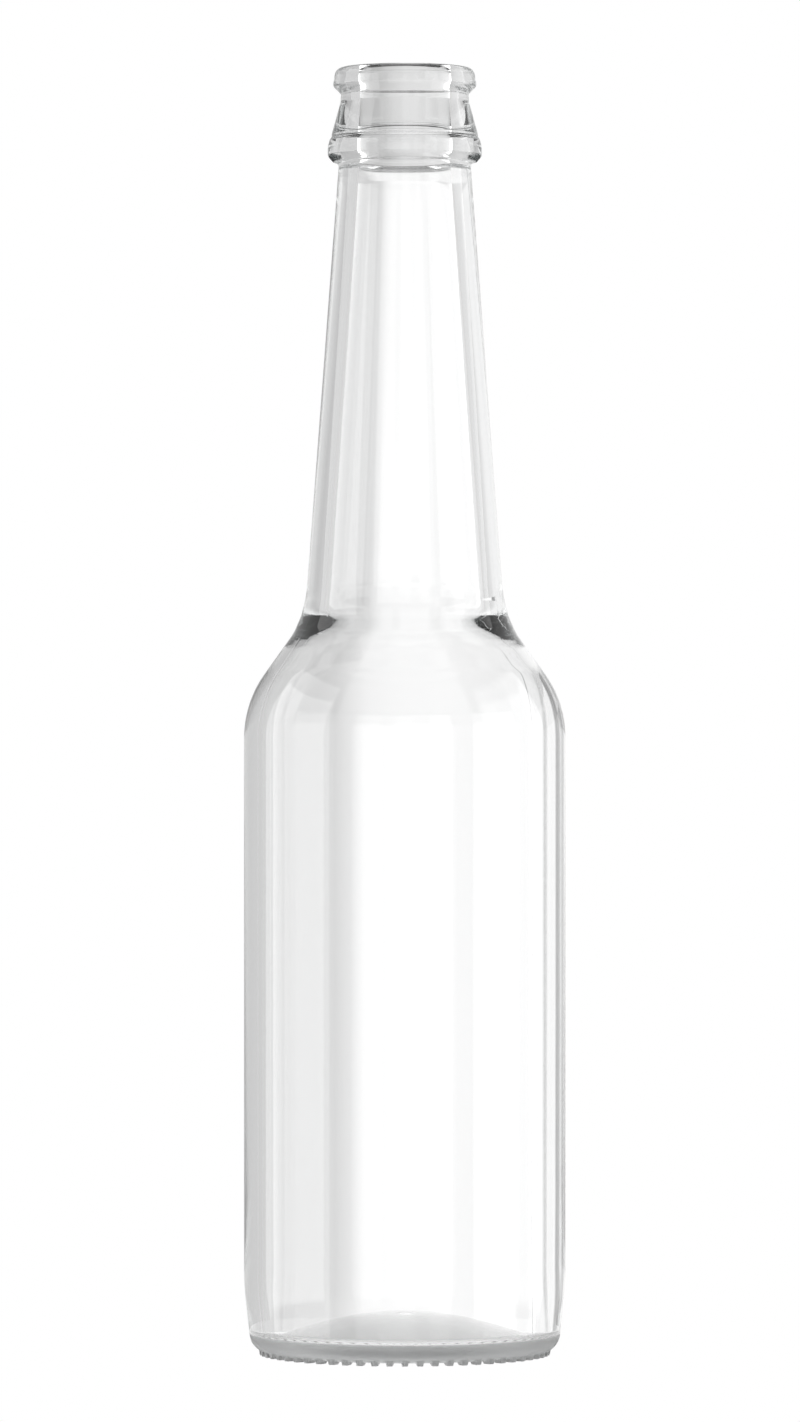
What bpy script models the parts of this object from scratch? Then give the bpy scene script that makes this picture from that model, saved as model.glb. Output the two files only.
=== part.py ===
# Long-neck bottle, 330 ml class, for a crown closure: one piece of clear flint glass, empty and open.
# Metres, +Z up. The origin is the centre of the circle that the bottle stands on.
import math

import bmesh
import bpy
from mathutils import Matrix, Vector

# Whole bottle
HEIGHT = 0.240
BODY_RADIUS = 0.030
TURN_STEPS = 60

# Hollow: the body's inner wall, a shoulder run in two slopes, a tight corner and the neck up to the bore
BODY_WALL = 0.0032
INNER_SHOULDER_FOOT = 0.1224
INNER_SHOULDER_RADIUS = 0.02066
INNER_SHOULDER_HEIGHT = 0.1310
INNER_NECK_RADIUS = 0.01494
INNER_NECK_HEIGHT = 0.13795
INNER_NECK_ROUND = 0.007
BORE_RADIUS = 0.0085
BORE_FOOT_HEIGHT = 0.2237

# Crown finish, from the rim down: bead, groove, skirt, collar
BEAD_RADIUS = 0.0133
BEAD_ROUND = 0.0025
BEAD_UNDERSIDE = 0.2366
BEAD_FOOT_ROUND = 0.0010
GROOVE_RADIUS = 0.0118
GROOVE_TOP = 0.2352
GROOVE_ROUND = 0.0007
SKIRT_TOP_RADIUS = 0.0119
SKIRT_TOP_HEIGHT = 0.2338
SKIRT_FOOT_RADIUS = 0.0136
SKIRT_FOOT_HEIGHT = 0.2273
COLLAR_TOP_RADIUS = 0.0139
COLLAR_TOP_HEIGHT = 0.2268
COLLAR_TOP_ROUND = 0.0003
COLLAR_STEP_HEIGHT = 0.2256
COLLAR_STEP_ROUND = 0.0005
COLLAR_RADIUS = 0.0144
COLLAR_HEIGHT = 0.2246
COLLAR_ROUND = 0.0008
COLLAR_FOOT_RADIUS = 0.0137
COLLAR_UNDERSIDE = 0.2228
COLLAR_FOOT_ROUND = 0.0006
MOUTH_ROUND = 0.0012
BORE_FOOT_ROUND = 0.020

# Neck cone, flare with its small lip, straight shoulder run and body
NECK_TOP_RADIUS = 0.0123
NECK_TOP_HEIGHT = 0.2224
NECK_TOP_ROUND = 0.0010
NECK_TAPER = math.radians(4.3)
FLARE_HEIGHT = 0.1416
FLARE_ROUND = 0.026
LIP_SLOPE = math.radians(14.5)
LIP_HEIGHT = 0.1378
SHOULDER_TOP_SLOPE = math.radians(23)
SHOULDER_TOP = 0.1346
SHOULDER_TOP_ROUND = 0.010
SHOULDER_SLOPE = math.radians(35.5)
SHOULDER_ROUND = 0.0205

# Heel and foot
HEEL_TAPER_START = 0.0130
HEEL_TAPER_ROUND = 0.060
HEEL_RADIUS = 0.0286
HEEL_ROUND = 0.0036
FOOT_INNER_RADIUS = 0.0240
KNURL_DEPTH = 0.00035

# Underside and floor
PUNT_RADIUS = 0.0232
PUNT_EDGE_HEIGHT = 0.0010
PUNT_HEIGHT = 0.0042
DIMPLE_RADIUS = 0.0013
DIMPLE_DEPTH = 0.0005
FLOOR_CENTRE_HEIGHT = 0.00825
FLOOR_EDGE_HEIGHT = 0.00395
FLOOR_EDGE_RADIUS = 0.0250
INNER_HEEL_HEIGHT = 0.0037
INNER_HEEL_ROUND = 0.0013
FLOOR_STEPS = 3

# Knurls on the circle that the bottle stands on
KNURL_COUNT = 60
KNURL_CIRCLE = 0.0262
KNURL_LENGTH = 0.0022
KNURL_WIDTH = 0.0013
KNURL_SIDES = 6
KNURL_ROOT = 0.0012
KNURL_FOOT_SHARE = 0.7


def rounded(corners):
    # Straight runs between the corners; each corner (radius, height, fillet, steps) is turned by an arc.
    points = []
    last = len(corners) - 1
    for index, (radius, height, fillet, steps) in enumerate(corners):
        corner = Vector((radius, height))
        if fillet == 0 or index in (0, last):
            points.append(corner)
            continue
        before = Vector(corners[index - 1][:2]) - corner
        after = Vector(corners[index + 1][:2]) - corner
        before.normalize()
        after.normalize()
        half = before.angle(after) / 2
        reach = fillet / math.tan(half)
        centre = corner + (before + after).normalized() * (fillet / math.sin(half))
        start = corner + before * reach - centre
        end = corner + after * reach - centre
        sweep = math.atan2(start.x * end.y - start.y * end.x, start.dot(end))
        for step in range(steps + 1):
            points.append(centre + Matrix.Rotation(sweep * step / steps, 2) @ start)
    return points


def cap(edge_radius, edge_height, top_height, steps):
    # A shallow ball cap from the axis out to its edge, without the edge point.
    rise = top_height - edge_height
    ball = (edge_radius ** 2 + rise ** 2) / (2 * rise)
    points = []
    for step in range(steps):
        radius = edge_radius * step / steps
        height = top_height - ball + math.sqrt(ball ** 2 - radius ** 2)
        points.append(Vector((radius, height)))
    return points


def neck_radius(height):
    return NECK_TOP_RADIUS + (NECK_TOP_HEIGHT - height) * math.tan(NECK_TAPER)


def shoulder_corners():
    # From the foot of the neck cone, by the flare and its lip, to the body.
    flare_radius = neck_radius(FLARE_HEIGHT)
    lip_radius = flare_radius + (FLARE_HEIGHT - LIP_HEIGHT) * math.tan(LIP_SLOPE)
    top_radius = lip_radius + (LIP_HEIGHT - SHOULDER_TOP) * math.tan(SHOULDER_TOP_SLOPE)
    foot = SHOULDER_TOP - (BODY_RADIUS - top_radius) / math.tan(SHOULDER_SLOPE)
    return [
        (flare_radius, FLARE_HEIGHT, FLARE_ROUND, 2),
        (lip_radius, LIP_HEIGHT, 0, 0),
        (top_radius, SHOULDER_TOP, SHOULDER_TOP_ROUND, 3),
        (BODY_RADIUS, foot, SHOULDER_ROUND, 5),
    ]


def inside_profile():
    # From the middle of the floor, out and up the inner wall, to the mouth.
    corners = [
        (FLOOR_EDGE_RADIUS, FLOOR_EDGE_HEIGHT, 0, 0),
        (BODY_RADIUS - BODY_WALL, INNER_HEEL_HEIGHT, INNER_HEEL_ROUND, 5),
        (BODY_RADIUS - BODY_WALL, INNER_SHOULDER_FOOT, SHOULDER_ROUND, 5),
        (INNER_SHOULDER_RADIUS, INNER_SHOULDER_HEIGHT, 0, 0),
        (INNER_NECK_RADIUS, INNER_NECK_HEIGHT, INNER_NECK_ROUND, 4),
        (BORE_RADIUS, BORE_FOOT_HEIGHT, BORE_FOOT_ROUND, 1),
        (BORE_RADIUS, HEIGHT, MOUTH_ROUND, 3),
        (BEAD_RADIUS, HEIGHT, 0, 0),
    ]
    floor = cap(FLOOR_EDGE_RADIUS, FLOOR_EDGE_HEIGHT, FLOOR_CENTRE_HEIGHT, FLOOR_STEPS)
    return floor + rounded(corners)[:-1]


def finish_corners():
    # The crown finish, down to the top of the neck.
    return [
        (BORE_RADIUS, HEIGHT, 0, 0),
        (BEAD_RADIUS, HEIGHT, BEAD_ROUND, 4),
        (BEAD_RADIUS, BEAD_UNDERSIDE, BEAD_FOOT_ROUND, 2),
        (GROOVE_RADIUS, GROOVE_TOP, GROOVE_ROUND, 2),
        (SKIRT_TOP_RADIUS, SKIRT_TOP_HEIGHT, 0, 0),
        (SKIRT_FOOT_RADIUS, SKIRT_FOOT_HEIGHT, 0, 0),
        (COLLAR_TOP_RADIUS, COLLAR_TOP_HEIGHT, COLLAR_TOP_ROUND, 1),
        (COLLAR_TOP_RADIUS, COLLAR_STEP_HEIGHT, COLLAR_STEP_ROUND, 1),
        (COLLAR_RADIUS, COLLAR_HEIGHT, COLLAR_ROUND, 2),
        (COLLAR_FOOT_RADIUS, COLLAR_UNDERSIDE, COLLAR_FOOT_ROUND, 2),
        (NECK_TOP_RADIUS, NECK_TOP_HEIGHT, NECK_TOP_ROUND, 2),
    ]


def outside_profile():
    # From the rim down the outer wall and round the heel to the foot.
    corners = [
        *finish_corners(),
        *shoulder_corners(),
        (BODY_RADIUS, HEEL_TAPER_START, HEEL_TAPER_ROUND, 2),
        (HEEL_RADIUS, KNURL_DEPTH, HEEL_ROUND, 6),
        (FOOT_INNER_RADIUS, KNURL_DEPTH, 0, 0),
        (PUNT_RADIUS, PUNT_EDGE_HEIGHT, 0, 0),
    ]
    return rounded(corners)[1:]


def underside_profile():
    # From the edge of the punt in to its middle, with the mould's small dimple.
    punt = cap(PUNT_RADIUS, PUNT_EDGE_HEIGHT, PUNT_HEIGHT, FLOOR_STEPS)[:0:-1]
    dimple = [
        Vector((DIMPLE_RADIUS, PUNT_HEIGHT)),
        Vector((DIMPLE_RADIUS * 0.7, PUNT_HEIGHT + DIMPLE_DEPTH)),
        Vector((0, PUNT_HEIGHT + DIMPLE_DEPTH)),
    ]
    return punt + dimple


def new_collection(name):
    collection = bpy.data.collections.new(name)
    bpy.context.scene.collection.children.link(collection)
    return collection


def flint_glass():
    glass = bpy.data.materials.new("flint_glass")
    glass.use_nodes = True
    shader = glass.node_tree.nodes["Principled BSDF"]
    shader.inputs["Base Color"].default_value = (0.96, 0.98, 0.98, 1)
    shader.inputs["Roughness"].default_value = 0.0
    shader.inputs["Metallic"].default_value = 0.0
    shader.inputs["IOR"].default_value = 1.52
    shader.inputs["Transmission Weight"].default_value = 1.0
    return glass


def make_knurls(cutters):
    # Short bars set radially round the foot, each a low frustum whose small end is the standing face.
    shape = bmesh.new()
    height = KNURL_DEPTH + KNURL_ROOT
    for index in range(KNURL_COUNT):
        angle = 2 * math.pi * index / KNURL_COUNT
        place = Matrix.Rotation(angle, 4, "Z") @ Matrix.Translation((KNURL_CIRCLE, 0, height / 2))
        size = Matrix.Diagonal((KNURL_LENGTH, KNURL_WIDTH, height, 1))
        bmesh.ops.create_cone(
            shape,
            cap_ends=True,
            cap_tris=False,
            segments=KNURL_SIDES,
            radius1=KNURL_FOOT_SHARE / 2,
            radius2=0.5,
            depth=1,
            matrix=place @ size,
        )
    mesh = bpy.data.meshes.new("knurl_ring")
    shape.to_mesh(mesh)
    shape.free()
    ring = bpy.data.objects.new("knurl_ring", mesh)
    ring.hide_render = True
    ring.display_type = "WIRE"
    cutters.objects.link(ring)
    return ring


def make_bottle(parts, knurls):
    points = inside_profile() + outside_profile() + underside_profile()
    mesh = bpy.data.meshes.new("bottle")
    edges = [(index, index + 1) for index in range(len(points) - 1)]
    mesh.from_pydata([(point.x, 0, point.y) for point in points], edges, [])
    mesh.materials.append(flint_glass())
    bottle = bpy.data.objects.new("bottle", mesh)
    parts.objects.link(bottle)

    turn = bottle.modifiers.new("turn", "SCREW")
    turn.axis = "Z"
    turn.angle = 2 * math.pi
    turn.steps = TURN_STEPS
    turn.render_steps = TURN_STEPS
    turn.use_merge_vertices = True
    turn.merge_threshold = 0.00001
    turn.use_smooth_shade = True

    join = bottle.modifiers.new("knurls", "BOOLEAN")
    join.operation = "UNION"
    join.object = knurls
    return bottle


def main():
    for old in list(bpy.data.objects):
        bpy.data.objects.remove(old)
    parts = new_collection("long_neck_bottle")
    cutters = new_collection("cutters")
    knurls = make_knurls(cutters)
    make_bottle(parts, knurls)


main()
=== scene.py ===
import math

import bmesh
import bpy
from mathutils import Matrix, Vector


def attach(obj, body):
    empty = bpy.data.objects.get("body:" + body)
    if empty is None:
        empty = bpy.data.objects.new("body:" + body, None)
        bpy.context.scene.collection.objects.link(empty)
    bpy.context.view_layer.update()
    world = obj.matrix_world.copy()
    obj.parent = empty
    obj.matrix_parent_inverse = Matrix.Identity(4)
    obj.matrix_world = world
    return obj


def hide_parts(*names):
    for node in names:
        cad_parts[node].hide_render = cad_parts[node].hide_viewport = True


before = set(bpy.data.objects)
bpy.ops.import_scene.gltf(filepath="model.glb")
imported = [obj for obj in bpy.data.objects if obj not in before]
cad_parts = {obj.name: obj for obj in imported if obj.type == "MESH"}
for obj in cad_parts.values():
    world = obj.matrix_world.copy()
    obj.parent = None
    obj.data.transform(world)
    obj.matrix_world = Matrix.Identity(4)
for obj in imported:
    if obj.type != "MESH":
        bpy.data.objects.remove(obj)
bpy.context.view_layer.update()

print("frame loaded:", ", ".join(sorted(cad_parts)))

mm = 0.001


def deselectAll():
    if bpy.context.object and bpy.context.object.mode != "OBJECT":
        bpy.ops.object.mode_set(mode="OBJECT")
    bpy.ops.object.select_all(action="DESELECT")


# The bottle's own sizes in millimetres. Each corner of its section is given as radius, height,
# fillet and the steps that draw the fillet.
bottle = {
    "turnSteps": 240,
    "rim": [
        (8.5, 240.0, 1.9, 10),
        (12.9, 240.0, 1.5, 10),
        (13.4, 236.6, 0.8, 8),
        (11.9, 235.1, 0.6, 6),
        (12.0, 233.6, 1.6, 6),
        (13.68, 227.5, 1.0, 6),
        (13.62, 227.1, 0.5, 5),
        (14.0, 226.7, 1.2, 6),
        (14.38, 225.2, 2.6, 8),
        (14.38, 223.5, 1.1, 8),
        (13.4, 222.4, 0.6, 6),
        (12.3, 222.3, 0.9, 6),
    ],
    "shoulder": [
        (18.36, 141.6, 26.0, 8),
        (19.34, 137.8, 0.6, 2),
        (20.70, 134.6, 10.0, 8),
        (30.00, 121.56, 20.5, 20),
    ],
    "heel": [
        (30.0, 13.0, 60.0, 8),
        (28.6, 0.45, 3.6, 16),
        (25.1, 0.45, 0, 0),
        (24.0, 0.45, 0.5, 4),
        (23.2, 1.0, 0.4, 3),
    ],
    # hollow under the base, and the small dimple at its middle
    "punt": {"radius": 23.2, "edge": 1.0, "top": 4.2, "steps": 16},
    "dimple": {
        "radius": 1.3,
        "depth": 0.5,
        "innerShare": 0.7,
        "mouthFillet": 0.3,
        "innerFillet": 0.2,
        "steps": 3,
    },
    # the knurls lie on the ring between two radii, below the height given
    "knurls": {"count": 60, "inner": 24.9, "outer": 27.3, "below": 2.0, "bevel": 0.2},
    # column of each seam and how far it stands proud
    "seams": {
        "columns": ((17, 0.04), (137, 0.012)),
        "half": 0.12,
        "foot": 3.0,
        "top": 222.0,
    },
    "floor": {"radius": 25.0, "edge": 3.95, "top": 9.1, "steps": 20},
    "inside": [
        (26.8, 3.7, 1.3, 10),
        (26.8, 122.4, 20.5, 20),
        (20.66, 131.0, 15.0, 8),
        (14.94, 137.95, 7.0, 14),
        (8.5, 223.7, 6.0, 6),
    ],
    # an edge shorter than the first isn't drawn, and points nearer than the second are merged
    "shortestEdge": 0.005,
    "mergeWithin": 0.002,
}


def fitArc(before, corner, after, fillet):
    # Start, centre, end and sweep of the arc that rounds a corner of the section.
    toBefore = (before - corner).normalized()
    toAfter = (after - corner).normalized()
    half = toBefore.angle(toAfter) / 2
    reach = fillet / math.tan(half)
    centre = corner + (toBefore + toAfter).normalized() * fillet / math.sin(half)
    start = corner + toBefore * reach
    end = corner + toAfter * reach
    spokeA, spokeB = start - centre, end - centre
    sweep = math.atan2(spokeA.x * spokeB.y - spokeA.y * spokeB.x, spokeA.dot(spokeB))
    return start, centre, end, sweep


def drawSection(corners):
    # The half section is one line of edges: straight runs are extruded, fillets are spun.
    first = corners[0]
    bpy.ops.mesh.primitive_plane_add(size=mm, location=(first[0] * mm, 0, first[1] * mm))
    bpy.ops.object.mode_set(mode="EDIT")
    bpy.ops.mesh.select_all(action="SELECT")
    bpy.ops.mesh.merge(type="CENTER")
    here = Vector(first[:2])
    for index in range(1, len(corners)):
        radius, height, fillet, steps = corners[index]
        corner = Vector((radius, height))
        stop = corner
        if fillet:
            after = Vector(corners[index + 1][:2])
            before = Vector(corners[index - 1][:2])
            stop, centre, end, sweep = fitArc(before, corner, after, fillet)
        move = (stop - here) * mm
        if move.length > bottle["shortestEdge"] * mm:
            bpy.ops.mesh.extrude_region_move(
                TRANSFORM_OT_translate={"value": (move.x, 0, move.y)}
            )
        here = stop
        if fillet:
            pivot = (centre.x * mm, 0, centre.y * mm)
            bpy.ops.mesh.spin(steps=steps, angle=sweep, center=pivot, axis=(0, 1, 0))
            here = end
    bpy.ops.object.mode_set(mode="OBJECT")


def ballCap(cap):
    # Points of a shallow ball cap, from its middle to its edge.
    rise = cap["top"] - cap["edge"]
    ball = (cap["radius"] ** 2 + rise ** 2) / (2 * rise)
    points = []
    for step in range(cap["steps"] + 1):
        radius = cap["radius"] * step / cap["steps"]
        height = cap["top"] - ball + math.sqrt(ball ** 2 - radius ** 2)
        points.append((radius, height, 0, 0))
    return points


def columnsFrom(point, column, pitch):
    # How many columns round a point lies from a column, or from the nearest of its repeats.
    turned = math.atan2(point.y, point.x) / (2 * math.pi) * bottle["turnSteps"]
    return abs((turned - column + pitch / 2) % pitch - pitch / 2)


def cutKnurls(piece):
    # Pairs of columns round the foot are inset and pressed down to the ground.
    knurls = bottle["knurls"]
    pitch = bottle["turnSteps"] / knurls["count"]
    downward = -0.5  # a face whose normal is lower than this looks down
    shape = bmesh.from_edit_mesh(piece.data)
    for face in shape.faces:
        middle = face.calc_center_median()
        out = math.hypot(middle.x, middle.y)
        onRing = knurls["inner"] * mm < out < knurls["outer"] * mm
        atFoot = middle.z < knurls["below"] * mm
        if onRing and atFoot and columnsFrom(middle, 0, pitch) < 1:
            face.select_set(face.normal.z < downward)
    bmesh.update_edit_mesh(piece.data)
    bpy.ops.mesh.inset(
        thickness=knurls["bevel"] * mm, use_boundary=True, use_even_offset=True
    )
    bpy.ops.transform.resize(value=(1, 1, 0), center_override=(0, 0, 0))
    bpy.ops.mesh.select_all(action="DESELECT")


def raiseSeam(piece, column, proud):
    # A line of edges up the outside is split into a narrow strip whose middle stands proud.
    seams = bottle["seams"]
    whole = bottle["turnSteps"]
    onColumn, inMiddle = 0.05, 0.02  # how near a point lies to the column, in columns
    outside = 0.3  # least lean outward of the normal of a point on the outer wall
    bpy.ops.mesh.select_mode(type="EDGE")
    shape = bmesh.from_edit_mesh(piece.data)
    for edge in shape.edges:
        low, high = sorted(vert.co.z for vert in edge.verts)
        onSeam = seams["foot"] * mm < low and high < seams["top"] * mm
        for vert in edge.verts:
            outward = vert.normal.xy.dot(vert.co.xy) > outside * vert.co.xy.length
            onSeam = onSeam and outward and columnsFrom(vert.co, column, whole) < onColumn
        if onSeam:
            edge.select_set(True)
    bmesh.update_edit_mesh(piece.data)
    bpy.ops.mesh.bevel(offset=seams["half"] * mm, segments=2, profile=0.5, affect="EDGES")

    shape = bmesh.from_edit_mesh(piece.data)
    middles = []
    for vert in shape.verts:
        if vert.select and columnsFrom(vert.co, column, whole) < inMiddle:
            middles.append(vert)
    bpy.ops.mesh.select_mode(type="VERT")
    bpy.ops.mesh.select_all(action="DESELECT")
    for vert in middles:
        vert.select_set(True)
    bmesh.update_edit_mesh(piece.data)
    bpy.ops.transform.shrink_fatten(value=proud * mm)
    bpy.ops.mesh.select_all(action="DESELECT")
    print("seam raised:", len(middles), "points")


def makeBottle():
    floor = ballCap(bottle["floor"])
    punt = ballCap(bottle["punt"])[::-1]
    dimple = bottle["dimple"]
    mouth = bottle["punt"]["top"]
    deep = mouth + dimple["depth"]
    hollow = [
        (dimple["radius"], mouth, dimple["mouthFillet"], dimple["steps"]),
        (dimple["radius"] * dimple["innerShare"], deep, dimple["innerFillet"], dimple["steps"]),
        (0, deep, 0, 0),
    ]
    section = floor + bottle["inside"] + bottle["rim"] + bottle["shoulder"] + bottle["heel"]
    section += punt[1:-1] + hollow
    deselectAll()
    drawSection(section)
    piece = bpy.context.object
    piece.name = piece.data.name = "bottle_glass"
    bpy.ops.object.transform_apply(location=True, rotation=True, scale=True)
    print("section drawn:", len(piece.data.vertices), "points")

    bpy.ops.object.mode_set(mode="EDIT")
    bpy.ops.mesh.select_all(action="SELECT")
    bpy.ops.mesh.spin(
        steps=bottle["turnSteps"], angle=2 * math.pi, center=(0, 0, 0), axis=(0, 0, 1)
    )
    bpy.ops.mesh.select_all(action="SELECT")
    bpy.ops.mesh.remove_doubles(threshold=bottle["mergeWithin"] * mm)
    bpy.ops.mesh.normals_make_consistent(inside=False)
    bpy.ops.mesh.select_all(action="DESELECT")
    cutKnurls(piece)
    for column, proud in bottle["seams"]["columns"]:
        raiseSeam(piece, column, proud)
    bpy.ops.object.mode_set(mode="OBJECT")
    bpy.ops.object.shade_smooth()
    return piece


piece = makeBottle()
print("bottle turned:", len(piece.data.polygons), "faces")
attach(piece, "root")
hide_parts("bottle")


def remap(tree, value, start, end, low=0.0, high=1.0):
    # Node that turns the range from start to end into the range from low to high.
    node = tree.nodes.new("ShaderNodeMapRange")
    tree.links.new(value, node.inputs["Value"])
    node.inputs["From Min"].default_value = start
    node.inputs["From Max"].default_value = end
    node.inputs["To Min"].default_value = low
    node.inputs["To Max"].default_value = high
    return node


def placeOnObject(tree):
    return tree.nodes.new("ShaderNodeTexCoord").outputs["Object"]


def splitAxes(tree, place):
    split = tree.nodes.new("ShaderNodeSeparateXYZ")
    tree.links.new(place, split.inputs[0])
    return split.outputs


def lengthOf(tree, place):
    out = tree.nodes.new("ShaderNodeVectorMath")
    out.operation = "LENGTH"
    tree.links.new(place, out.inputs[0])
    return out.outputs["Value"]


# Flint glass, with the stippled underside that the mould's base plate leaves. Heights, edges and
# fades are in millimetres.
glass = {
    "ior": 1.52,
    # how the glass dims what shines through it: colour, and density per metre
    "tint": (0.90, 0.905, 0.905),
    "density": 60.0,
    # roughness of the stipple, the height where it ends, and the clear dimple at its middle
    "stipple": 0.45,
    "stippleTop": 4.5,
    "stippleFade": 0.8,
    "dimpleEdge": 1.5,
    "dimpleFade": 0.3,
    # slow waves all over and fine pits in the stipple: how many to a metre, and their height
    "waves": 42.0,
    "waveHeight": 0.02,
    "waveDetail": 1.0,
    "grain": 900.0,
    "grainHeight": 0.004,
    "grainDetail": 3.0,
    # where the waves are highest the polish is a little duller
    "hazeFrom": 0.55,
    "hazeTo": 0.8,
    "haze": 0.02,
}


def noiseOver(tree, place, scale, detail):
    noise = tree.nodes.new("ShaderNodeTexNoise")
    noise.inputs["Scale"].default_value = scale
    noise.inputs["Detail"].default_value = detail
    tree.links.new(place, noise.inputs["Vector"])
    return noise.outputs["Fac"]


def makeGlass():
    paint = bpy.data.materials.new("flint_glass")
    paint.use_nodes = True
    tree = paint.node_tree
    nodes, links = tree.nodes, tree.links
    shader = nodes["Principled BSDF"]
    shader.inputs["Base Color"].default_value = (1, 1, 1, 1)
    shader.inputs["IOR"].default_value = glass["ior"]
    shader.inputs["Transmission Weight"].default_value = 1.0
    depth = nodes.new("ShaderNodeVolumeAbsorption")
    depth.inputs["Color"].default_value = (*glass["tint"], 1)
    depth.inputs["Density"].default_value = glass["density"]
    links.new(depth.outputs[0], nodes["Material Output"].inputs["Volume"])

    # the stipple covers what lies round the dimple and low enough
    place = placeOnObject(tree)
    flat = nodes.new("ShaderNodeVectorMath")
    flat.operation = "MULTIPLY"
    flat.inputs[1].default_value = (1, 1, 0)
    links.new(place, flat.inputs[0])
    out, height = lengthOf(tree, flat.outputs[0]), splitAxes(tree, place)["Z"]
    edge, top = glass["dimpleEdge"], glass["stippleTop"]
    outer, lower = edge + glass["dimpleFade"], top - glass["stippleFade"]
    around = remap(tree, out, edge * mm, outer * mm, high=glass["stipple"])
    below = remap(tree, height, lower * mm, top * mm, low=1.0, high=0.0)
    plate = nodes.new("ShaderNodeMath")
    plate.operation = "MULTIPLY"
    links.new(around.outputs["Result"], plate.inputs[0])
    links.new(below.outputs["Result"], plate.inputs[1])

    waves = noiseOver(tree, place, glass["waves"], glass["waveDetail"])
    grain = noiseOver(tree, place, glass["grain"], glass["grainDetail"])
    polish = remap(tree, waves, glass["hazeFrom"], glass["hazeTo"], high=glass["haze"])
    rough = nodes.new("ShaderNodeMath")
    rough.operation = "ADD"
    links.new(plate.outputs[0], rough.inputs[0])
    links.new(polish.outputs["Result"], rough.inputs[1])
    links.new(rough.outputs[0], shader.inputs["Roughness"])

    swell = nodes.new("ShaderNodeBump")
    swell.inputs["Distance"].default_value = glass["waveHeight"] * mm
    links.new(waves, swell.inputs["Height"])
    pits = nodes.new("ShaderNodeBump")
    pits.inputs["Distance"].default_value = glass["grainHeight"] * mm
    links.new(grain, pits.inputs["Height"])
    links.new(plate.outputs[0], pits.inputs["Strength"])
    links.new(swell.outputs["Normal"], pits.inputs["Normal"])
    links.new(pits.outputs["Normal"], shader.inputs["Normal"])
    return paint


piece.data.materials.append(makeGlass())
print("glass mixed")


# The room: soft panels all round. Each is given by its centre azimuth, half width, centre
# elevation, half height and soft edge (degrees), and its brightness.
studio = {
    "room": 0.30,
    "panels": {
        "frontBox": (-179.5, 37.5, 0.5, 12.5, 3.0, 1.35),
        "frontGap": (166.0, 6.0, 0.5, 12.5, 4.0, 0.75),
        "leftBox": (-86.0, 34.0, 10.5, 22.5, 2.0, 1.9),
        "rightBox": (85.0, 33.0, 9.0, 21.0, 8.0, 1.6),
        "rightFill": (130.0, 12.0, 0.5, 12.5, 4.0, 0.85),
        "rightStrip": (64.0, 7.0, 4.0, 16.0, 3.0, 2.2),
        "table": (0.0, 62.0, -50.0, 41.0, 1.0, 0.58),
        "darkRoom": (180.0, 118.0, -50.0, 38.0, 3.0, 0.05),
        "frontLow": (180.0, 58.0, -34.0, 22.0, 6.0, 0.80),
    },
}


def makeStudio():
    world = bpy.data.worlds.new("studio")
    bpy.context.scene.world = world
    world.use_nodes = True
    tree = world.node_tree
    nodes, links = tree.nodes, tree.links
    nodes.clear()

    def calculate(operation, *values):
        node = nodes.new("ShaderNodeMath")
        node.operation = operation
        for slot, value in enumerate(values):
            if isinstance(value, (int, float)):
                node.inputs[slot].default_value = value
            else:
                links.new(value, node.inputs[slot])
        return node.outputs[0]

    def withinPanel(distance, half, soft):
        inner, outer = math.radians(half - soft / 2), math.radians(half + soft / 2)
        node = remap(tree, distance, inner, outer, low=1.0, high=0.0)
        node.interpolation_type = "SMOOTHSTEP"
        return node.outputs["Result"]

    axes = splitAxes(tree, nodes.new("ShaderNodeTexCoord").outputs["Generated"])
    azimuth = calculate("ARCTAN2", axes["X"], axes["Y"])
    elevation = calculate("ARCSINE", axes["Z"])
    glow = studio["room"]
    for name, (turn, halfTurn, rise, halfRise, soft, bright) in studio["panels"].items():
        turned = calculate("SUBTRACT", azimuth, math.radians(turn))
        aside = calculate("ABSOLUTE", calculate("WRAP", turned, math.pi, -math.pi))
        above = calculate("ABSOLUTE", calculate("SUBTRACT", elevation, math.radians(rise)))
        across = withinPanel(aside, halfTurn, soft)
        inside = calculate("MULTIPLY", across, withinPanel(above, halfRise, soft))
        blend = nodes.new("ShaderNodeMix")
        blend.label = name
        links.new(inside, blend.inputs["Factor"])
        if isinstance(glow, float):
            blend.inputs["A"].default_value = glow
        else:
            links.new(glow, blend.inputs["A"])
        blend.inputs["B"].default_value = bright
        glow = blend.outputs["Result"]
    room = nodes.new("ShaderNodeBackground")
    links.new(glow, room.inputs["Color"])

    # the backdrop itself shows as plain white
    plain = nodes.new("ShaderNodeBackground")
    plain.inputs["Color"].default_value = (1, 1, 1, 1)
    path = nodes.new("ShaderNodeLightPath")
    choose = nodes.new("ShaderNodeMixShader")
    links.new(path.outputs["Is Camera Ray"], choose.inputs["Fac"])
    links.new(room.outputs[0], choose.inputs[1])
    links.new(plain.outputs[0], choose.inputs[2])
    output = nodes.new("ShaderNodeOutputWorld")
    links.new(choose.outputs[0], output.inputs["Surface"])


makeStudio()
print("room lit:", len(studio["panels"]), "panels")


def glowPaint(name, strength=1.0):
    paint = bpy.data.materials.new(name)
    paint.use_nodes = True
    nodes, links = paint.node_tree.nodes, paint.node_tree.links
    nodes.clear()
    glow = nodes.new("ShaderNodeEmission")
    glow.inputs["Strength"].default_value = strength
    output = nodes.new("ShaderNodeOutputMaterial")
    links.new(glow.outputs[0], output.inputs["Surface"])
    return paint


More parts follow.
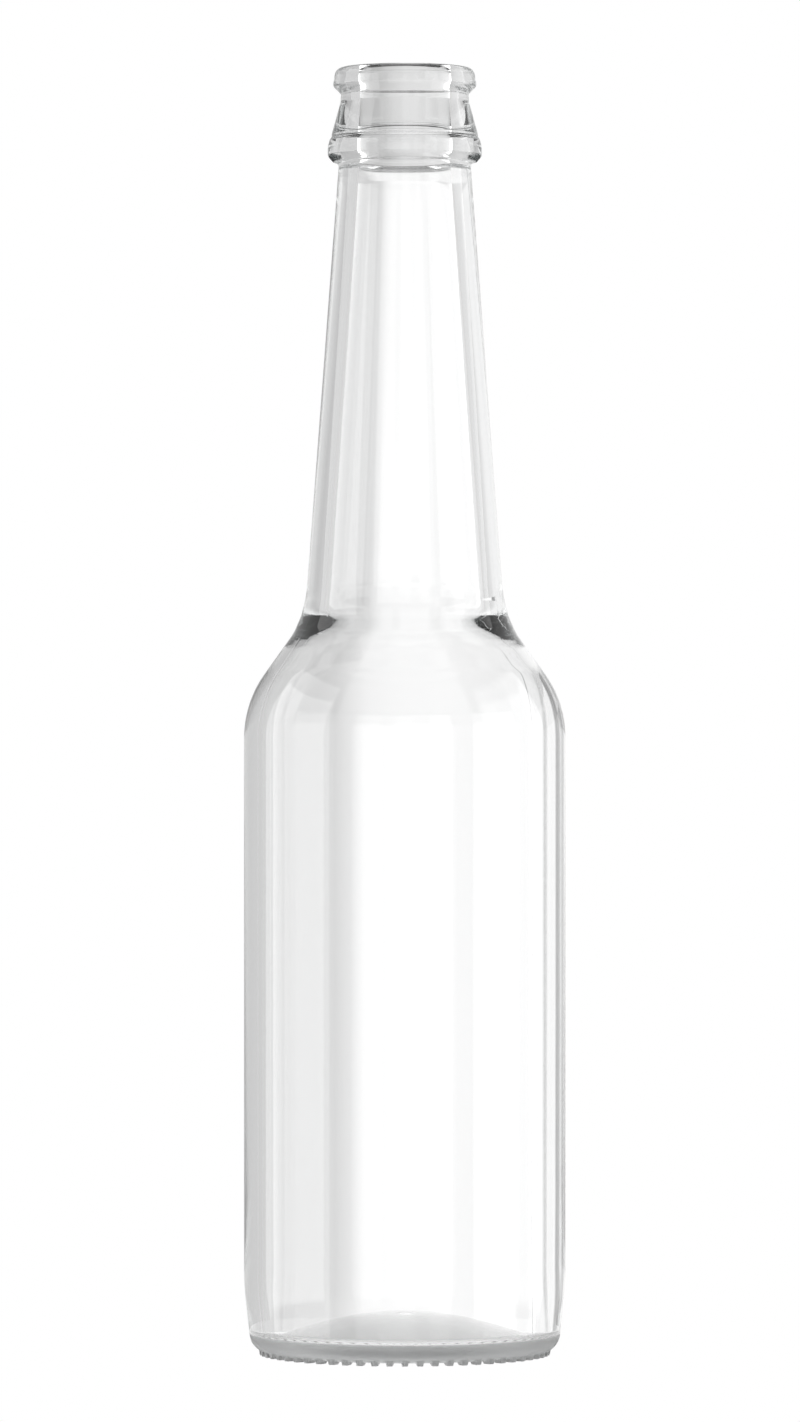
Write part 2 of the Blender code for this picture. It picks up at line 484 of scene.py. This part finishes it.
def gradeGlow(tree, share, stops):
    # The glow runs from stop to stop, each a share from 0 to 1 and its brightness.
    ramp = tree.nodes.new("ShaderNodeValToRGB")
    tree.links.new(share, ramp.inputs["Fac"])
    marks = ramp.color_ramp.elements
    while len(marks) < len(stops):
        marks.new(1.0)
    for mark, (position, bright) in zip(marks, stops):
        mark.position = position
        mark.color = (bright, bright, bright, 1)
    tree.links.new(ramp.outputs["Color"], tree.nodes["Emission"].inputs["Color"])


# Lit boards behind the bottle, which only its glass sees: how far behind they stand, half width,
# foot and top, then the brightness at each place across (all mm)
boards = {
    "body_board": {
        "behind": 80.0,
        "half": 200.0,
        "foot": -100.0,
        "top": 131.0,
        "across": [
            (-90, 0.65), (-60, 0.61), (-44, 0.63), (-35, 0.66), (-22, 0.71), (-17, 0.76),
            (-13, 0.89), (-9, 1.00), (-3, 1.05), (10, 1.08), (20, 1.05), (28, 1.01),
            (46, 0.98), (56, 0.94), (62, 0.26), (76, 0.26), (84, 1.12), (110, 1.04),
        ],
    },
    "neck_board": {
        "behind": 80.0,
        "half": 200.0,
        "foot": 131.0,
        "top": 340.0,
        "across": [
            (-90, 0.63), (-60, 0.54), (-44, 0.58), (-35, 0.64), (-22, 0.70), (-17, 0.71),
            (-13, 0.82), (-9, 1.01), (-3, 1.06), (10, 1.08), (20, 1.05), (28, 1.02),
            (60, 0.96), (72, 0.80), (100, 0.72), (200, 0.66),
        ],
    },
    "finish_board": {
        "behind": 24.0,
        "half": 60.0,
        "foot": 222.2,
        "top": 262.0,
        "across": [
            (-60, 0.62), (-25, 0.60), (-9, 0.60), (-4, 0.70), (0, 0.80), (8, 0.83),
            (25, 0.82), (60, 0.70),
        ],
    },
}


def makeBoard(name, board):
    deselectAll()
    half = board["half"]
    middle = (board["foot"] + board["top"]) / 2
    bpy.ops.mesh.primitive_plane_add(
        size=1,
        location=(0, board["behind"] * mm, middle * mm),
        rotation=(math.radians(90), 0, 0),
    )
    card = bpy.context.object
    card.name = name
    card.scale = (2 * half * mm, (board["top"] - board["foot"]) * mm, 1)
    bpy.ops.object.transform_apply(location=True, rotation=True, scale=True)
    paint = glowPaint(name + "_light")
    tree = paint.node_tree
    share = remap(tree, splitAxes(tree, placeOnObject(tree))["X"], -half * mm, half * mm)
    stops = [((across + half) / (2 * half), bright) for across, bright in board["across"]]
    gradeGlow(tree, share.outputs["Result"], stops)
    card.data.materials.append(paint)
    card.visible_camera = False


for name, board in boards.items():
    makeBoard(name, board)
print("boards lit:", len(boards))


# Card cut as a ring under the finish (mm), black above and pale below. Its brightness below runs
# from one place and value on the left to another on the right.
shade = {
    "inner": 13.4,
    "outer": 26.0,
    "height": 222.2,
    "steps": 96,
    "dark": 0.03,
    "left": (-13, 0.62),
    "right": (-8, 0.97),
}


def makeShade():
    deselectAll()
    bpy.ops.mesh.primitive_circle_add(
        vertices=shade["steps"],
        radius=shade["inner"] * mm,
        fill_type="NOTHING",
        location=(0, 0, shade["height"] * mm),
    )
    ring = bpy.context.object
    ring.name = "shade_board"
    bpy.ops.object.transform_apply(location=True, rotation=True, scale=True)
    bpy.ops.object.mode_set(mode="EDIT")
    bpy.ops.mesh.select_all(action="SELECT")
    bpy.ops.mesh.extrude_edges_move()
    grow = shade["outer"] / shade["inner"]
    bpy.ops.transform.resize(value=(grow, grow, 1), center_override=(0, 0, 0))
    bpy.ops.object.mode_set(mode="OBJECT")
    paint = glowPaint("shade_paint", shade["dark"])
    tree = paint.node_tree
    left, leftGlow = shade["left"]
    right, rightGlow = shade["right"]
    across = splitAxes(tree, placeOnObject(tree))["X"]
    under = remap(tree, across, left * mm, right * mm, leftGlow, rightGlow)
    side = tree.nodes.new("ShaderNodeNewGeometry")
    share = remap(tree, side.outputs["Backfacing"], 0.0, 1.0, high=shade["dark"])
    tree.links.new(under.outputs["Result"], share.inputs["To Min"])
    tree.links.new(share.outputs["Result"], tree.nodes["Emission"].inputs["Strength"])
    ring.data.materials.append(paint)
    ring.visible_camera = False


makeShade()
print("shade hung")


# Pale floor for the eye (metres), and under the bottle a patch of light (mm) that only its glass
# sees, with its brightness at each distance from the middle; its dip round the foot, lowest at
# 34 mm, is a painted contact shadow
ground = {
    "floorSize": 3.0,
    "floorGlow": 1.0,
    "patchRadius": 60.0,
    "patchDrop": 0.4,
    "patchSteps": 48,
    # from 24 to 40 mm the glow dips: a painted contact shadow round the foot ring
    "patchGlowAndShadow": [(0, 0.95), (24, 1.00), (31, 0.72), (34, 0.62), (40, 0.90), (60, 1.00)],
}


def makeFloor():
    deselectAll()
    bpy.ops.mesh.primitive_plane_add(size=ground["floorSize"], location=(0, 0, 0))
    floor = bpy.context.object
    floor.name = "floor"
    floor.data.materials.append(glowPaint("floor_paint", ground["floorGlow"]))
    floor.visible_transmission = False
    floor.visible_glossy = False


def makePatch():
    deselectAll()
    wide = ground["patchRadius"]
    bpy.ops.mesh.primitive_circle_add(
        vertices=ground["patchSteps"],
        radius=wide * mm,
        fill_type="NGON",
        location=(0, 0, -ground["patchDrop"] * mm),
    )
    patch = bpy.context.object
    patch.name = "floor_patch"
    bpy.ops.object.transform_apply(location=True, rotation=True, scale=True)
    paint = glowPaint("patch_light_and_shadow")
    tree = paint.node_tree
    # the glow and its painted contact shadow ring are graded by distance from the middle
    share = remap(tree, lengthOf(tree, placeOnObject(tree)), 0.0, wide * mm)
    stops = [(radius / wide, bright) for radius, bright in ground["patchGlowAndShadow"]]
    gradeGlow(tree, share.outputs["Result"], stops)
    patch.data.materials.append(paint)
    patch.visible_camera = False


makeFloor()
makePatch()
print("floor laid")


# Metres, but for the film, whose long side is in millimetres. The frame's height is what the
# picture takes in at the bottle.
view = {"distance": 1.4, "height": 0.120, "aside": -0.0009, "frameHeight": 0.2654, "film": 36.0}


def makeCamera():
    lens = bpy.data.cameras.new("camera")
    lens.sensor_width = view["film"]
    lens.lens = view["film"] * view["distance"] / view["frameHeight"]
    camera = bpy.data.objects.new("camera", lens)
    bpy.context.scene.collection.objects.link(camera)
    camera.location = (view["aside"], -view["distance"], view["height"])
    camera.rotation_euler = (math.radians(90), 0, 0)
    bpy.context.scene.camera = camera


makeCamera()
print("camera placed")


# How often light may turn inside the glass
light = {"bounces": 48, "throughGlass": 32, "gloss": 32}

scene = bpy.context.scene
scene.view_settings.view_transform = "Standard"
scene.cycles.max_bounces = light["bounces"]
scene.cycles.transmission_bounces = light["throughGlass"]
scene.cycles.glossy_bounces = light["gloss"]
